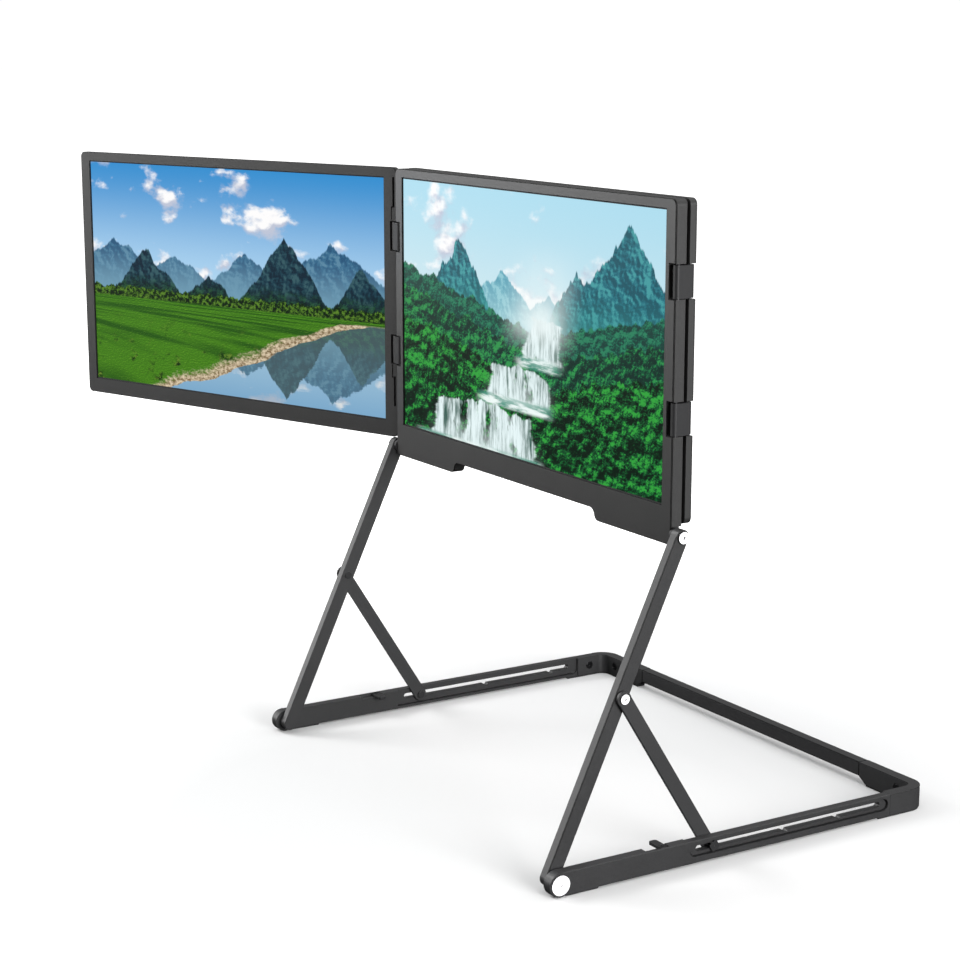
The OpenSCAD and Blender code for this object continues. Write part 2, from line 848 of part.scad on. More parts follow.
module right_bezel() {
    color(body_dark) at_right() side_bezel_shape();
}

module right_lcd() {
    color([0.35, 0.5, 0.65]) at_right() side_lcd_shape();
}

module right_cover() {
    color(body_dark) at_right() side_cover_shape();
}

module right_board() {
    color(board_green) at_right() side_board_shape();
}

rail_right();
rail_left();
corner_right();
corner_left();
crossbar();
front_feet();
rear_feet();
corner_screws();
base_pins();
base_caps();
latch_right();
latch_left();
latch_screws();
leg_right();
leg_left();
brace_pins();
brace_caps();
top_pins();
top_caps();
brace_right();
brace_left();
slide_pins();
slide_blocks();
centre_bezel();
centre_lcd();
centre_cover();
centre_board();
tilt_hubs();
centre_pins();
left_link_top();
left_link_low();
left_pins();
left_bezel();
left_lcd();
left_cover();
left_board();
right_link_top();
right_link_low();
right_pins();
right_bezel();
right_lcd();
right_cover();
right_board();
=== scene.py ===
import json
import math

import bmesh
import bpy
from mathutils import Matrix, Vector


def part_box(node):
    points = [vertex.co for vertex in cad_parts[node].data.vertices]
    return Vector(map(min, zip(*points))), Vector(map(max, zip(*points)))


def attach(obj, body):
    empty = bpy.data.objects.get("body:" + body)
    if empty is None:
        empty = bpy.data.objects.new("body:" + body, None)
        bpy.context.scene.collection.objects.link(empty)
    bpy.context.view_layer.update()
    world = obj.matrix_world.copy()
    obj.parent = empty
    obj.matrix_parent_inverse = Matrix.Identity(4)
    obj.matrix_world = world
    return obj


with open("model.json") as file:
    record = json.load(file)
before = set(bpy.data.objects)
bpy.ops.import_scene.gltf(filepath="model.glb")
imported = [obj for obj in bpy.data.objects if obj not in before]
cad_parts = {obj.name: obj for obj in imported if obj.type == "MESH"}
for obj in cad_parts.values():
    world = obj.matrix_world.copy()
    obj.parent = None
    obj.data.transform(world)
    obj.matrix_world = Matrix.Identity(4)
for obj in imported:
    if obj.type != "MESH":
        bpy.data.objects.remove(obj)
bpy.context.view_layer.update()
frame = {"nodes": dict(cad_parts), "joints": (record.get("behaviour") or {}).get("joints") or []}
nodes = frame["nodes"]
joints = {j["name"]: j for j in frame["joints"]}
mm = 0.001

cameraSetup = {
    "place": (1.4556, -0.87301, 0.54887),
    "lookAt": (0.08505, -0.03509, 0.21376),
    "lens": 80.9,    # mm, on the sensor below
    "sensor": 36,
    "farEnd": 30,
}

studio = {
    "surround": 0.2,           # what the part sees of the room
    "backdrop": 1.02,          # what the camera sees of it
    "overheadSun": 1.6,
    "overheadSpread": 110,     # degrees
    "overheadLean": (0.12, -0.05, 0),
    "floorHalf": 30,
    "shadedSpot": (0.22, -0.12, 0.0),
    "paintedShadeFade": (0.42, 1.0),     # distances from that spot between which the floor's painted shade fades and it turns paler
    "glowing": (0.22, 1.0),    # and between which its glow comes up
    # painted shade: the floor's colour near the part, darker than far off
    "shadedFloorColour": 0.695,
    "farFloorColour": 0.97,
    "farFloorGlow": 0.7,       # lights the far floor for the camera alone
    "floorBounce": 0.08,       # share of the floor that the part sees, near it and far off
    "farFloorBounce": 0.06,
}

# soft boxes: place, power, size, point that they face
softBoxes = {
    "lowLeftBox": ((-2.3, -1.55, 0.5), 23, (1.9, 0.8), (0, 0, 0.3)),
    "highLeftBox": ((-1.6, -1.5, 1.9), 46, (1.4, 1.0), (0, 0, 0.35)),
    "frontBox": ((-0.9, -2.7, 0.4), 7, (1.5, 0.7), (-0.2, 0, 0.3)),
    "rightBox": ((2.8, 0.1, 0.75), 108, (1.4, 1.2), (0.1, 0, 0.2)),
    "backBox": ((0.9, 2.7, 1.0), 16, (1.6, 1.2), (0, 0, 0.3)),
}


def addObject(name, data):
    obj = bpy.data.objects.new(name, data)
    bpy.context.scene.collection.objects.link(obj)
    return obj


def aim(obj, target):
    obj.rotation_mode = "QUATERNION"
    obj.rotation_quaternion = (Vector(target) - obj.location).to_track_quat("-Z", "Y")


def makeCamera():
    cam = addObject("camera", bpy.data.cameras.new("camera"))
    cam.location = cameraSetup["place"]
    aim(cam, cameraSetup["lookAt"])
    cam.data.lens = cameraSetup["lens"]
    cam.data.sensor_width = cameraSetup["sensor"]
    cam.data.clip_end = cameraSetup["farEnd"]
    bpy.context.scene.camera = cam
    bpy.context.scene.view_settings.view_transform = "Standard"
    print("camera at", cameraSetup["place"])


def makeRoom():
    # white behind the part for the camera, but a darker room for what the paint mirrors
    world = bpy.data.worlds.new("studio")
    bpy.context.scene.world = world
    world.use_nodes = True
    tree = world.node_tree
    back = tree.nodes["Background"]
    back.inputs["Color"].default_value = (1, 1, 1, 1)
    rays = tree.nodes.new("ShaderNodeLightPath")
    level = tree.nodes.new("ShaderNodeMapRange")
    level.inputs["To Min"].default_value = studio["surround"]
    level.inputs["To Max"].default_value = studio["backdrop"]
    tree.links.new(rays.outputs["Is Camera Ray"], level.inputs["Value"])
    tree.links.new(level.outputs[0], back.inputs["Strength"])


def softBox(name, place, power, size, target):
    lamp = addObject(name, bpy.data.lights.new(name, "AREA"))
    lamp.data.energy = power
    lamp.data.shape = "RECTANGLE"
    lamp.data.size, lamp.data.size_y = size
    lamp.location = place
    lamp.visible_camera = False
    aim(lamp, target)


def makeLights():
    sun = addObject("overhead", bpy.data.lights.new("overhead", "SUN"))
    sun.data.energy = studio["overheadSun"]
    sun.data.angle = math.radians(studio["overheadSpread"])
    sun.rotation_euler = studio["overheadLean"]
    for name, box in softBoxes.items():
        softBox(name, *box)
    print("lights", 1 + len(softBoxes))


def floorPaper():
    # white paper with painted shade round the part, and its own glow far off
    mat = bpy.data.materials.new("floorPaper")
    g = Graph(mat)
    where = g.node("ShaderNodeTexCoord").outputs["Object"]
    away = g.node("ShaderNodeVectorMath", {0: where, 1: studio["shadedSpot"]},
                  operation="DISTANCE").outputs["Value"]
    seen = g.node("ShaderNodeLightPath").outputs["Is Camera Ray"]
    # painted shade: the floor darker near the part
    tone = g.ramp(away, *studio["paintedShadeFade"], studio["shadedFloorColour"], studio["farFloorColour"])
    bounce = g.ramp(away, *studio["paintedShadeFade"], studio["floorBounce"], studio["farFloorBounce"])
    share = g.ramp(seen, 0.0, 1.0, bounce, 1.0)
    glow = g.ramp(away, *studio["glowing"], 0.0, studio["farFloorGlow"])
    g.feed(g.shader.inputs["Base Color"], g.mul(tone, share))
    g.shader.inputs["Emission Color"].default_value = (1, 1, 1, 1)
    g.feed(g.shader.inputs["Emission Strength"], g.mul(glow, seen))
    g.shader.inputs["Roughness"].default_value = 1.0
    g.shader.inputs["Specular IOR Level"].default_value = 0.0
    return mat


def makeFloor():
    half = studio["floorHalf"]
    mesh = bpy.data.meshes.new("floor")
    corners = [(-half, -half, 0), (half, -half, 0), (half, half, 0), (-half, half, 0)]
    mesh.from_pydata(corners, [], [(0, 1, 2, 3)])
    mesh.materials.append(floorPaper())
    floor = addObject("floor", mesh)
    print("floor laid")


class Graph:
    # short way to write node chains; every value is a socket or a number
    def __init__(self, mat):
        mat.use_nodes = True
        self.tree = mat.node_tree
        self.shader = self.tree.nodes["Principled BSDF"]

    def node(self, kind, inputs=(), **settings):
        n = self.tree.nodes.new(kind)
        for k, v in settings.items():
            setattr(n, k, v)
        for k, v in dict(inputs).items():
            self.feed(n.inputs[k], v)
        return n

    def feed(self, socket, value):
        if isinstance(value, bpy.types.NodeSocket):
            self.tree.links.new(value, socket)
        elif isinstance(value, tuple) and len(value) == 3 and socket.type == "RGBA":
            socket.default_value = (*value, 1)
        else:
            socket.default_value = value

    def math(self, op, a, b=0.0, c=0.0):
        return self.node("ShaderNodeMath", {0: a, 1: b, 2: c}, operation=op).outputs[0]

    def add(self, a, b):
        return self.math("ADD", a, b)

    def sub(self, a, b):
        return self.math("SUBTRACT", a, b)

    def mul(self, a, b):
        return self.math("MULTIPLY", a, b)

    def larger(self, a, b):
        return self.math("MAXIMUM", a, b)

    def ramp(self, x, start, end, low, high):
        # low where x is at start, high where it is at end
        return self.node("ShaderNodeMapRange", {0: x, 1: start, 2: end, 3: low, 4: high}).outputs[0]

    def step(self, x, low, high):
        # soft step from 0 at low to 1 at high
        n = self.node("ShaderNodeMapRange", {0: x, 1: low, 2: high}, interpolation_type="SMOOTHSTEP")
        return n.outputs[0]

    def mix(self, share, a, b):
        n = self.node("ShaderNodeMix", {0: share, 6: a, 7: b}, data_type="RGBA")
        return n.outputs[2]

    def point(self, x, y, z=0.0):
        return self.node("ShaderNodeCombineXYZ", {0: x, 1: y, 2: z}).outputs[0]

    def noise(self, vector, scale, detail=3.0, rough=0.5, warp=0.0):
        n = self.node("ShaderNodeTexNoise", {"Vector": vector, "Scale": scale, "Detail": detail,
                                             "Roughness": rough, "Distortion": warp})
        return n.outputs[0]

    def swing(self, noise, amount):
        # a noise about its middle, times an amount
        return self.mul(self.sub(noise, 0.5), amount)


finishes = {
    "framePaint": {"colour": (0.0243, 0.0243, 0.0252), "rough": 0.42, "grain": 1400, "depth": 0.05,
                   "speckle": 1.0},
    "housing": {"colour": (0.022, 0.022, 0.022), "rough": 0.42, "grain": 1400, "depth": 0.05,
                "speckle": 1.0},
    # painted shade: near black for the rounded edges, standing for the dark lines that shade draws along
    # them
    "paintedShadeEdge": {"colour": (0.004, 0.004, 0.004), "rough": 0.5, "grain": 2200, "depth": 0.03,
                 "gloss": 0.12},
    "darkPart": {"colour": (0.016, 0.016, 0.017), "rough": 0.48, "grain": 2200, "depth": 0.04,
                 "gloss": 0.3},
    "rubber": {"colour": (0.014, 0.014, 0.015), "rough": 0.8, "grain": 1800, "depth": 0.12},
    # white caps, with painted shade on their round walls
    "whiteCap": {"colour": (0.97, 0.97, 0.98), "rough": 0.3, "grain": 900, "depth": 0.01, "speckle": 0.04,
                 "paintedShadeRim": True},
    "boardGreen": {"colour": (0.02, 0.12, 0.05), "rough": 0.5, "grain": 900, "depth": 0.05},
    "inside": {"colour": (0.01, 0.01, 0.011), "rough": 0.6, "grain": 900, "depth": 0.03},
}


# what the plastics share; a noise is its scale, detail and roughness
plasticGrain = {
    "fine": (2.0, 0.6),        # its scale is the finish's own
    "cloud": (26.0, 4.0, 0.55),
    "cloudShare": 0.44,
    "speckle": 0.5,
    "gloss": 0.5,
    "roughSpread": 0.25,
    "bumpGain": 4,
    "bumpHeight": 0.0002,
    "capFace": (0.6, 0.95),    # a cap's wall, painted with shade, faces X by less than the first, its white face by more
}

steel = {
    "lines": (400.0, 400.0, 6000.0),
    "dark": (0.03, 0.03, 0.032),
    "light": (0.07, 0.07, 0.072),
    "rough": 0.22,
    "roughSpread": 0.2,
}


def plasticFinish(name):
    f = finishes[name]
    mat = bpy.data.materials.new(name)
    g = Graph(mat)
    where = g.node("ShaderNodeTexCoord").outputs["Object"]
    grain = g.noise(where, f["grain"], *plasticGrain["fine"])
    cloud = g.noise(where, *plasticGrain["cloud"])
    speckle = f.get("speckle", plasticGrain["speckle"])
    broad = g.swing(cloud, speckle * plasticGrain["cloudShare"])
    shade = g.add(g.swing(grain, speckle), g.add(broad, 1.0))
    tint = g.node("ShaderNodeVectorMath", {0: g.point(*f["colour"]), 1: g.point(shade, shade, shade)},
                  operation="MULTIPLY").outputs[0]
    if f.get("paintedShadeRim"):
        # the caps look along X: white faces, painted shade on their round walls
        outward = g.node("ShaderNodeTexCoord").outputs["Normal"]
        facing = g.math("ABSOLUTE", g.node("ShaderNodeSeparateXYZ", {0: outward}).outputs[0])
        tint = g.mix(g.step(facing, *plasticGrain["capFace"]), finishes["paintedShadeEdge"]["colour"], tint)
    g.feed(g.shader.inputs["Base Color"], tint)
    g.feed(g.shader.inputs["Roughness"], g.add(g.swing(grain, plasticGrain["roughSpread"]), f["rough"]))
    bump = g.node("ShaderNodeBump", {"Strength": f["depth"] * plasticGrain["bumpGain"],
                                     "Distance": plasticGrain["bumpHeight"], "Height": grain})
    g.feed(g.shader.inputs["Normal"], bump.outputs[0])
    g.shader.inputs["Specular IOR Level"].default_value = f.get("gloss", plasticGrain["gloss"])
    return mat


def steelFinish():
    mat = bpy.data.materials.new("darkSteel")
    g = Graph(mat)
    where = g.node("ShaderNodeTexCoord").outputs["Object"]
    drawn = g.node("ShaderNodeMapping", {0: where, 3: steel["lines"]}).outputs[0]
    lines = g.noise(drawn, 1.0, 3.0)
    g.feed(g.shader.inputs["Base Color"], g.mix(lines, steel["dark"], steel["light"]))
    g.feed(g.shader.inputs["Roughness"], g.add(g.mul(lines, steel["roughSpread"]), steel["rough"]))
    g.shader.inputs["Metallic"].default_value = 1.0
    return mat


glass = {"colour": (0.004, 0.004, 0.004, 1), "rough": 0.3, "gloss": 0.05, "light": 1.0}
aspect = 1.78  # width of a picture over its height


def pictureShader(mat, paint):
    g = Graph(mat)
    uv = g.node("ShaderNodeUVMap", uv_map="picture").outputs[0]
    split = g.node("ShaderNodeSeparateXYZ", {0: uv})
    colour = paint(g, split.outputs[0], split.outputs[1])
    g.shader.inputs["Base Color"].default_value = glass["colour"]
    g.shader.inputs["Roughness"].default_value = glass["rough"]
    g.shader.inputs["Specular IOR Level"].default_value = glass["gloss"]
    g.feed(g.shader.inputs["Emission Color"], colour)
    g.shader.inputs["Emission Strength"].default_value = glass["light"]


def shifted(g, vector, dx, dy):
    return g.node("ShaderNodeVectorMath", {0: vector, 1: (dx, dy, 0.0)}, operation="ADD").outputs[0]


def emboss(g, vector, scale, detail, rough, dx, dy):
    # relief of a noise, lit from (-dx, -dy); about 0 on level ground
    return g.sub(g.noise(vector, scale, detail, rough),
                 g.noise(shifted(g, vector, dx, dy), scale, detail, rough))


clouds = {"shade": (0.52, 0.56, 0.68), "light": (0.98, 0.97, 0.97)}


def cloudSky(g, u, v, seed, low, high, cover, size=3.4):
    # fair weather clouds over a sky that pales towards the horizon
    sky = g.mix(g.step(v, 0.38, 1.05), low, high)
    p = g.point(g.mul(u, aspect), g.mul(v, 1.6), seed)
    heap = g.noise(p, size, 8.0, 0.56, 0.15)
    thin = g.noise(p, size * 0.6, 3.0, 0.5)
    amount = g.add(heap, g.swing(thin, 0.5))
    sun = g.step(emboss(g, p, size, 5.0, 0.5, -0.015, 0.05), -0.03, 0.06)
    tone = g.mix(sun, clouds["shade"], clouds["light"])
    return g.mix(g.step(amount, cover, cover + 0.11), sky, tone)


def skyline(g, u, tents, wobble, seed):
    # pointed peaks: (place, height, slope) of each
    line = None
    for place, height, slope in tents:
        tent = g.sub(height, g.mul(g.math("ABSOLUTE", g.sub(u, place)), slope))
        line = tent if line is None else g.math("SMOOTH_MAX", line, tent, 0.03)
    rough = g.noise(g.point(g.mul(u, aspect), seed), 7.0, 7.0, 0.62)
    return g.add(line, g.swing(rough, wobble))


def below(g, line, v, soft=0.005):
    return g.step(g.sub(line, v), -soft, soft)


def rockTone(g, u, v, seed, dark, mid, light, size=6.0):
    p = g.point(g.mul(u, aspect), v, seed)
    lit = emboss(g, p, size, 9.0, 0.62, 0.012, 0.008)
    tone = g.mix(g.step(lit, -0.035, 0.01), dark, mid)
    return g.mix(g.step(lit, 0.005, 0.05), tone, light)


def leafTone(g, u, v, seed, size, dark, mid, light):
    # tree crowns: rounded heaps with smaller leaves on them, lit from above
    p = g.point(g.mul(u, aspect), v, seed)
    heap = emboss(g, p, size, 2.0, 0.5, 0.006, -0.016)
    leaf = emboss(g, p, size * 4.0, 5.0, 0.7, 0.002, -0.004)
    broad = g.noise(p, size * 0.22, 2.0, 0.5)
    lit = g.add(g.add(heap, g.mul(leaf, 0.8)), g.mul(g.sub(broad, 0.52), 0.3))
    tone = g.mix(g.step(lit, -0.10, 0.02), dark, mid)
    return g.mix(g.step(lit, 0.02, 0.16), tone, light)


# peaks are (place, height, slope); rocks and woods have a dark, a middle and a light tone
alps = {
    "far": [(0.08, 0.66, 0.9), (0.30, 0.60, 0.8), (0.55, 0.63, 1.0), (0.83, 0.70, 0.9)],
    "near": [(0.20, 0.63, 1.7), (0.42, 0.55, 1.5), (0.68, 0.72, 1.9), (0.93, 0.60, 1.5)],
    "sky": ((0.46, 0.70, 0.90), (0.022, 0.26, 0.62)),
    "mist": (0.16, 0.33, 0.45),
    "farRock": ((0.02, 0.09, 0.19), (0.035, 0.14, 0.26), (0.10, 0.24, 0.36)),
    "nearRock": ((0.003, 0.018, 0.035), (0.008, 0.045, 0.07), (0.035, 0.10, 0.12)),
    "wood": ((0.002, 0.012, 0.008), (0.006, 0.04, 0.02), (0.02, 0.09, 0.03)),
}


def paintAlps(g, u, v, shore=0.40):
    # sky and mountains of the left picture; also what its lake mirrors
    view = cloudSky(g, u, v, 3.1, *alps["sky"], 0.555)
    far = skyline(g, u, alps["far"], 0.16, 7.3)
    near = skyline(g, u, alps["near"], 0.18, 1.9)
    haze = g.step(v, shore, 0.66)
    farRock = rockTone(g, u, v, 0.4, *alps["farRock"])
    view = g.mix(below(g, far, v), view, g.mix(haze, alps["mist"], farRock))
    nearRock = rockTone(g, u, v, 2.4, *alps["nearRock"])
    wood = leafTone(g, u, v, 5.4, 34.0, *alps["wood"])
    return g.mix(below(g, near, v), view, g.mix(g.step(v, 0.42, 0.52), wood, nearRock))


# the first four are heights in the picture, from 0 at its foot to 1 at its top
lakeland = {
    "trees": 0.405,
    "meadow": 0.395,
    "waterTop": (0.385, 0.375),
    "mirrorLine": 0.36,
    "leaves": ((0.002, 0.012, 0.002), (0.02, 0.07, 0.006), (0.10, 0.22, 0.02)),
    "weeds": ((0.004, 0.02, 0.002), (0.03, 0.09, 0.006), (0.16, 0.26, 0.03)),
    "grass": ((0.022, 0.12, 0.006), (0.085, 0.30, 0.012)),
    "bladeShade": (0.01, 0.05, 0.002),
    "bladeLight": (0.30, 0.50, 0.06),
    "water": (0.16, 0.27, 0.30),
    "sand": ((0.20, 0.13, 0.06), (0.72, 0.60, 0.42)),
}


def paintLakeland(g, u, v):
    # blue sky, pointed mountains, meadows and a lake on the right that mirrors them
    land = paintAlps(g, u, v)
    crown = g.add(lakeland["trees"], g.mul(g.noise(g.point(g.mul(u, aspect), 4.4), 22.0, 6.0, 0.65), 0.07))
    trees = leafTone(g, u, v, 2.0, 60.0, *lakeland["leaves"])
    land = g.mix(below(g, crown, v, 0.003), land, trees)
    # meadow strips, narrower in the distance
    depth = g.math("DIVIDE", 0.06, g.larger(g.sub(0.45, v), 0.02))
    slant = g.add(g.mul(depth, 5.0), g.mul(u, 1.1))
    strip = g.noise(g.point(g.mul(u, 0.7), slant, 5.0), 2.6, 2.0, 0.4)
    grass = g.mix(g.step(strip, 0.40, 0.56), *lakeland["grass"])
    blade = emboss(g, g.point(g.mul(u, aspect), g.mul(v, 2.2), 8.0), 70.0, 6.0, 0.75, 0.001, -0.004)
    grass = g.mix(g.step(blade, -0.02, 0.10), g.mix(0.55, grass, lakeland["bladeShade"]), grass)
    grass = g.mix(g.step(blade, 0.10, 0.22), grass, lakeland["bladeLight"])
    tuft = g.noise(g.point(g.mul(u, aspect), g.mul(v, 1.4), 11.0), 9.0, 4.0, 0.6)
    weeds = leafTone(g, u, v, 12.0, 40.0, *lakeland["weeds"])
    grass = g.mix(g.mul(g.step(tuft, 0.56, 0.66), g.step(v, 0.36, 0.1)), grass, weeds)
    land = g.mix(below(g, lakeland["meadow"], v, 0.004), land, grass)
    # lake: its shore runs from the middle of the foot to the right
    bend = g.noise(g.point(g.mul(u, 1.4), g.mul(v, 2.0), 6.0), 3.2, 5.0, 0.5)
    reach = g.sub(g.add(g.mul(u, 0.74), g.swing(bend, 0.16)), g.add(g.mul(v, 1.25), 0.20))
    ripple = g.swing(g.noise(g.point(g.mul(u, 6.0), g.mul(v, 90.0), 0.0), 2.0, 3.0), 0.02)
    mirrored = g.add(g.sub(0.74, v), ripple)
    mirror = paintAlps(g, g.add(u, g.mul(ripple, 0.4)), mirrored, lakeland["mirrorLine"])
    water = g.mix(0.35, mirror, lakeland["water"])
    bank = g.noise(g.point(g.mul(u, aspect), g.mul(v, 1.6), 9.0), 46.0, 6.0, 0.7)
    sandy = g.mix(g.step(bank, 0.38, 0.62), *lakeland["sand"])
    bankWidth = g.add(0.02, g.mul(g.sub(0.42, v), 0.22))
    onShore = g.step(g.add(reach, bankWidth), -0.006, 0.006)
    field = g.step(v, *lakeland["waterTop"])
    strand = g.mul(onShore, g.step(g.add(reach, g.mul(bank, 0.10)), -0.02, 0.03))
    land = g.mix(g.mul(field, strand), land, sandy)
    return g.mix(g.mul(field, g.step(reach, 0.0, 0.006)), land, water)


gorge = {
    "far": [(0.10, 0.62, 0.7), (0.42, 0.70, 1.1), (0.60, 0.64, 0.8)],
    "near": [(0.24, 0.80, 2.1), (0.88, 0.92, 1.5), (0.70, 0.74, 1.9)],
    # falls: left end, right end, lip, foot of each
    "falls": [(0.50, 0.66, 0.55, 0.385), (0.36, 0.62, 0.355, 0.215), (0.12, 0.56, 0.19, 0.0)],
    # drop below the rim and brightness of each belt of forest
    "belts": ((0.0, 0.55), (0.09, 0.8), (0.2, 1.0)),
    "sky": ((0.66, 0.82, 0.86), (0.40, 0.70, 0.84)),
    "mist": (0.50, 0.76, 0.78),
    "lowMist": (0.05, 0.34, 0.30),
    "farRock": ((0.09, 0.34, 0.45), (0.14, 0.42, 0.52), (0.26, 0.56, 0.64)),
    "nearRock": ((0.004, 0.085, 0.12), (0.012, 0.16, 0.21), (0.05, 0.32, 0.34)),
    "water": ((0.015, 0.085, 0.06), (0.80, 0.93, 0.94)),
    "pool": ((0.06, 0.28, 0.20), (0.86, 0.95, 0.93)),
    "spray": (0.80, 0.93, 0.93),
    "plume": (0.84, 0.94, 0.94),
}


def paintGorge(g, u, v):
    # misty gorge: teal peaks, forest on both slopes and falls that step down to the left
    land = cloudSky(g, u, v, 8.7, *gorge["sky"], 0.55, 2.6)
    far = skyline(g, u, gorge["far"], 0.16, 2.2)
    near = skyline(g, u, gorge["near"], 0.26, 5.9)
    farRock = rockTone(g, u, v, 0.4, *gorge["farRock"])
    nearRock = rockTone(g, u, v, 3.4, *gorge["nearRock"])
    haze = g.step(v, 0.30, 0.72)
    land = g.mix(below(g, far, v), land, g.mix(haze, gorge["mist"], farRock))
    land = g.mix(below(g, near, v), land, g.mix(haze, gorge["lowMist"], nearRock))
    slope = g.math("ABSOLUTE", g.sub(u, 0.56))
    rim = g.add(0.40, g.mul(slope, 0.34))
    for n, (drop, tone) in enumerate(gorge["belts"]):
        crown = g.noise(g.point(g.mul(u, aspect), 4.4 + n), 10.0 + 3 * n, 6.0, 0.62)
        line = g.add(g.sub(rim, drop), g.mul(crown, 0.16))
        wood = leafTone(g, u, v, 2.0 + n, 26.0 - 4 * n, (0.0, 0.010, 0.003),
                        (0.004 * tone, 0.085, 0.022 / tone), (0.03 * tone, 0.36 * tone, 0.045 / tone))
        veiled = g.mix(0.25 * (1 - tone), wood, gorge["lowMist"])
        land = g.mix(below(g, line, v, 0.004), land, veiled)
    for n, (left, right, lip, foot) in enumerate(gorge["falls"]):
        jag = g.sub(g.noise(g.point(g.mul(u, aspect), 20.0 + n), 12.0, 4.0, 0.6), 0.5)
        edge = g.sub(g.noise(g.point(g.mul(v, 1.2), 30.0 + n), 9.0, 4.0, 0.6), 0.5)
        middle, half = (left + right) / 2, (right - left) / 2
        aside = g.math("ABSOLUTE", g.sub(g.add(u, g.mul(edge, 0.11)), middle))
        inside = g.step(g.sub(g.sub(half, g.mul(g.sub(v, foot), 0.16)), aside), 0.0, 0.014)
        brink = g.sub(g.add(lip, g.mul(jag, 0.09)), g.mul(aside, 0.16))
        fall = g.mul(g.step(g.sub(brink, v), 0.0, 0.008),
                     g.step(g.sub(v, g.add(foot, g.mul(jag, 0.03))), -0.004, 0.010))
        streak = g.noise(g.point(g.mul(u, aspect), g.mul(v, 0.10), 3.0 + n), 75.0 - 12 * n, 6.0, 0.68)
        curtain = g.noise(g.point(g.mul(u, aspect), g.mul(v, 0.35), 7.0 + n), 13.0, 3.0, 0.5)
        density = g.add(g.swing(streak, 1.4), g.sub(curtain, 0.40))
        water = g.mix(g.step(density, -0.18, 0.26), *gorge["water"])
        gap = g.step(g.noise(g.point(g.mul(u, aspect), g.mul(v, 0.5), 12.0 + n), 9.0, 4.0, 0.6), 0.36, 0.44)
        land = g.mix(g.mul(g.mul(inside, fall), gap), land, water)
        # pool and foam at the foot
        reach = g.sub(half * 1.25, g.math("ABSOLUTE", g.sub(u, middle - 0.02)))
        level = g.mul(g.step(g.sub(foot + 0.012, v), -0.01, 0.01),
                      g.step(g.sub(v, foot - 0.035), -0.006, 0.012))
        pool = g.mul(g.step(reach, 0.0, 0.05), level)
        foam = g.noise(g.point(g.mul(u, 4.0), g.mul(v, 14.0), 15.0 + n), 3.4, 5.0, 0.6)
        land = g.mix(pool, land, g.mix(g.step(foam, 0.40, 0.62), *gorge["pool"]))
        veil = g.mul(g.step(g.math("ABSOLUTE", g.sub(u, middle)), half * 1.2, 0.0),
                     g.mul(g.step(v, foot - 0.03, foot + 0.01), g.step(v, foot + 0.12, foot)))
        land = g.mix(g.mul(veil, 0.45), land, gorge["spray"])
    plume = g.mul(g.step(g.math("ABSOLUTE", g.sub(u, g.add(0.5, g.mul(v, 0.12)))), 0.16, 0.0),
                  g.mul(g.step(v, 0.40, 0.52), g.step(v, 0.86, 0.50)))
    wisp = g.noise(g.point(g.mul(u, 3.0), g.mul(v, 1.4), 7.0), 3.0, 5.0, 0.55)
    return g.mix(g.mul(plume, g.mul(wisp, 1.5)), land, gorge["plume"])


coast = {
    "cape": [(0.95, 0.74, 0.8), (0.68, 0.58, 0.9)],
    "seaTop": 0.42,
    "sky": ((0.62, 0.78, 0.88), (0.02, 0.2, 0.5)),
    "wood": ((0.004, 0.03, 0.01), (0.03, 0.10, 0.03), (0.16, 0.26, 0.08)),
    "sea": ((0.05, 0.42, 0.42), (0.01, 0.13, 0.3)),
    "foam": (0.75, 0.88, 0.88),
    "sand": ((0.42, 0.31, 0.17), (0.85, 0.74, 0.52)),
}


def paintCoast(g, u, v):
    # seaside: pale sky, wooded headland, green sea and a beach
    land = cloudSky(g, u, v, 5.5, *coast["sky"], 0.58)
    cape = skyline(g, u, coast["cape"], 0.14, 9.1)
    land = g.mix(below(g, cape, v), land, leafTone(g, u, v, 0.4, 30.0, *coast["wood"]))
    swell = g.math("DIVIDE", 0.3, g.larger(g.sub(0.47, v), 0.02))
    wave = g.noise(g.point(g.mul(u, 2.0), g.mul(swell, 3.0), 0.0), 3.0, 6.0, 0.6)
    sea = g.mix(g.step(v, 0.0, coast["seaTop"]), *coast["sea"])
    sea = g.mix(g.step(wave, 0.56, 0.70), sea, coast["foam"])
    land = g.mix(below(g, coast["seaTop"], v, 0.003), land, sea)
    shore = g.add(g.mul(u, 0.35), g.mul(g.noise(g.point(u, 1.0), 6.0, 3.0), 0.08))
    grit = g.noise(g.point(g.mul(u, aspect), v, 0.4), 80.0, 7.0, 0.65)
    sand = g.mix(grit, *coast["sand"])
    return g.mix(below(g, g.sub(shore, 0.12), v, 0.004), land, sand)


# lit is the size of the picture and bezel its way in from the side and from below, in mm
screens = {
    "centre": {"body": "centre_screen", "paint": paintGorge,
               "lit": (344.2, 193.6), "bezel": (10.5, 25.7)},
    "left": {"body": "left_screen", "paint": paintLakeland,
             "lit": (342.75, 192.79), "bezel": (12.6, 13.0)},
    "right": {"body": "right_screen", "paint": paintCoast,
              "lit": (342.75, 192.79), "bezel": (12.6, 13.0)},
}
leftOpen = 20.0  # degrees that the left screen is turned forward


# mm, but for the cuts; the first two place a side screen's bezel from its hinge axis
pictureFit = {
    "sideInset": 3,
    "frontInset": 2.65,
    "setback": 1.09,      # behind the bezel's front
    "thickness": 0.06,
    "rim": 0.7,           # dark rim between the picture and its window
    "cuts": 3,
}


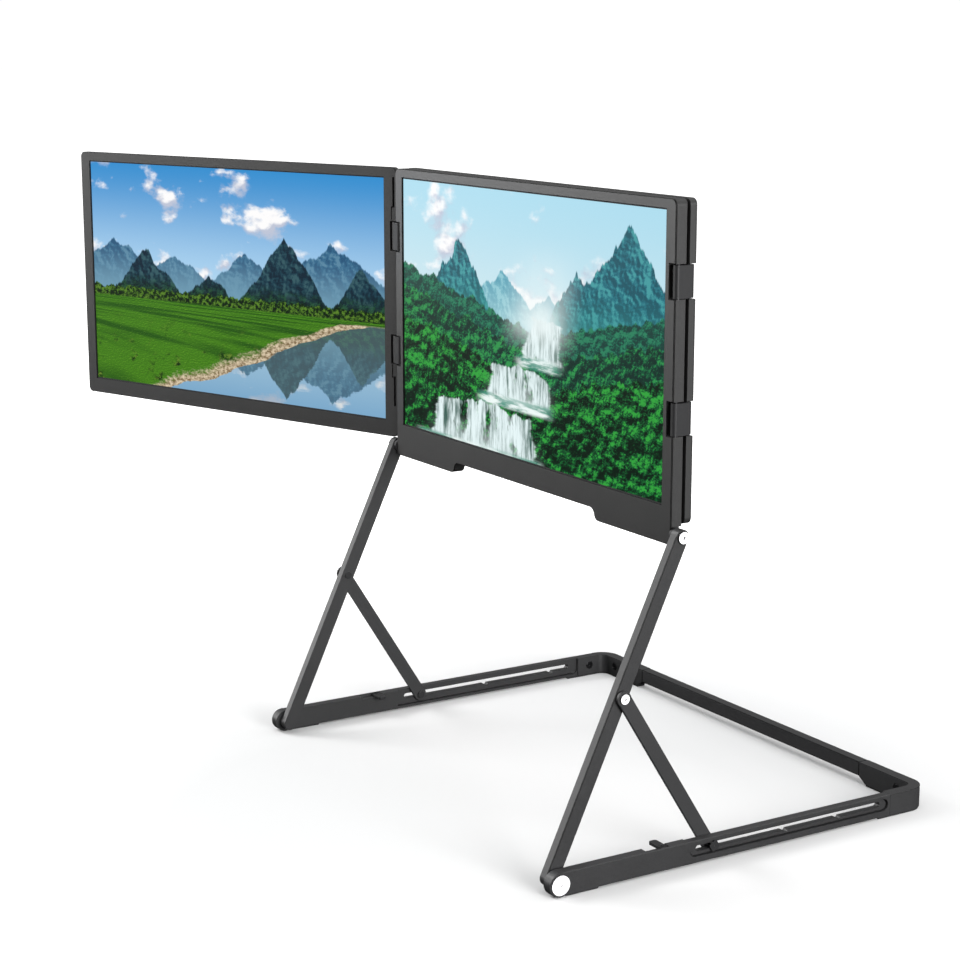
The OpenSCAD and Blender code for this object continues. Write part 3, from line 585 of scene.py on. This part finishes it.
def screenCorner(name):
    # lower front corner of a screen, the way along it and the way out of its front
    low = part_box(name + "_bezel")[0]
    if name == "centre":
        return Vector((low.x, low.y, low.z)), Vector((1, 0, 0)), Vector((0, -1, 0))
    axis = Vector(joints[name + "_screen_turn"]["pos_m"])
    if name == "left":
        turn = math.radians(leftOpen)
        along = Vector((-math.cos(turn), -math.sin(turn), 0))
        front = Vector((math.sin(turn), -math.cos(turn), 0))
    else:
        # folded flat behind the centre screen
        along, front = Vector((-1, 0, 0)), Vector((0, 1, 0))
    corner = axis - along * pictureFit["sideInset"] * mm + front * pictureFit["frontInset"] * mm
    return Vector((corner.x, corner.y, low.z)), along, front


def makePicture(name):
    s = screens[name]
    corner, along, front = screenCorner(name)
    up = Vector((0, 0, 1))
    w, h = s["lit"][0] * mm, s["lit"][1] * mm
    side, foot = s["bezel"]
    start = corner + along * side * mm + up * foot * mm - front * pictureFit["setback"] * mm
    rim = pictureFit["rim"] * mm
    bm = bmesh.new()
    layer = bm.loops.layers.uv.new("picture")
    rows = []
    for depth in (0.0, pictureFit["thickness"] * mm):
        ring = [bm.verts.new(start + along * a + up * b + front * depth)
                for a, b in ((rim, rim), (w - rim, rim), (w - rim, h - rim), (rim, h - rim))]
        rows.append(ring)
    faces = [rows[1], rows[0][::-1]] + [
        [rows[0][i], rows[0][(i + 1) % 4], rows[1][(i + 1) % 4], rows[1][i]] for i in range(4)]
    for f in faces:
        bm.faces.new(f)
    bmesh.ops.recalc_face_normals(bm, faces=bm.faces)
    bmesh.ops.subdivide_edges(bm, edges=bm.edges, cuts=pictureFit["cuts"], use_grid_fill=True)
    for f in bm.faces:
        for loop in f.loops:
            a = (loop.vert.co - start).dot(along) / w
            b = (loop.vert.co - start).dot(up) / h
            loop[layer].uv = (a if name == "centre" else 1 - a, b)
    mesh = bpy.data.meshes.new(name + "Picture")
    bm.to_mesh(mesh)
    bm.free()
    picture = addObject(name + "Picture", mesh)
    mat = bpy.data.materials.new(name + "Landscape")
    pictureShader(mat, s["paint"])
    mesh.materials.append(mat)
    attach(picture, s["body"])
    print("picture", name)


nodeFinish = {
    "framePaint": ["rail_right", "rail_left", "corner_right", "corner_left", "crossbar",
                   "leg_right", "leg_left", "brace_right", "brace_left"],
    "housing": ["centre_bezel", "centre_cover", "left_bezel", "left_cover", "right_bezel", "right_cover"],
    "darkPart": ["latch_right", "latch_left", "base_pins", "brace_pins", "top_pins", "slide_pins",
                 "slide_blocks", "tilt_hubs", "left_link_top", "left_link_low", "right_link_top",
                 "right_link_low"],
    "rubber": ["front_feet", "rear_feet"],
    "whiteCap": ["base_caps", "brace_caps", "top_caps"],
    "darkSteel": ["corner_screws", "latch_screws", "centre_pins", "left_pins", "right_pins"],
    "boardGreen": ["centre_board", "left_board", "right_board"],
    "inside": ["centre_lcd", "left_lcd", "right_lcd"],
}

# mm
edgeWidth = {
    "framePaint": 0.8, "housing": 0.8, "darkPart": 0.3, "rubber": 0.25, "whiteCap": 0.45,
    "darkSteel": 0.1,
}

softening = {
    "weldWithin": 0.00001,     # metres
    "flatWithin": 0.6,         # degrees
    "sharpFrom": 35,           # degrees
    "segments": 2,
    "faceWeight": 100,
    # finishes whose rounded edges get the painted shade edge colour
    "paintedShadeEdged": ("framePaint", "housing", "whiteCap"),
}


def softenEdges(obj, width):
    weld = obj.modifiers.new("weld", "WELD")
    weld.merge_threshold = softening["weldWithin"]
    flat = obj.modifiers.new("flat", "DECIMATE")
    flat.decimate_type = "DISSOLVE"
    flat.angle_limit = math.radians(softening["flatWithin"])
    bevel = obj.modifiers.new("softEdge", "BEVEL")
    bevel.width = width * mm
    bevel.segments = softening["segments"]
    bevel.limit_method = "ANGLE"
    bevel.angle_limit = math.radians(softening["sharpFrom"])
    # the rounded edge faces take the second slot, which for dark-edged finishes holds painted shade
    bevel.material = 1
    even = obj.modifiers.new("evenShade", "WEIGHTED_NORMAL")
    even.weight = softening["faceWeight"]
    even.keep_sharp = True


def dressNodes():
    made = {n: plasticFinish(n) for n in finishes}
    made["darkSteel"] = steelFinish()
    for finish, names in nodeFinish.items():
        # rounded edges of the dark-edged finishes are painted with shade
        edge = "paintedShadeEdge" if finish in softening["paintedShadeEdged"] else finish
        for name in names:
            obj = nodes[name]
            obj.data.materials.clear()
            obj.data.materials.append(made[finish])
            if finish in edgeWidth:
                obj.data.materials.append(made[edge])
                softenEdges(obj, edgeWidth[finish])
    print("finishes on", sum(len(v) for v in nodeFinish.values()), "nodes")


makeCamera()
makeRoom()
makeLights()
makeFloor()
dressNodes()
for screenName in screens:
    makePicture(screenName)
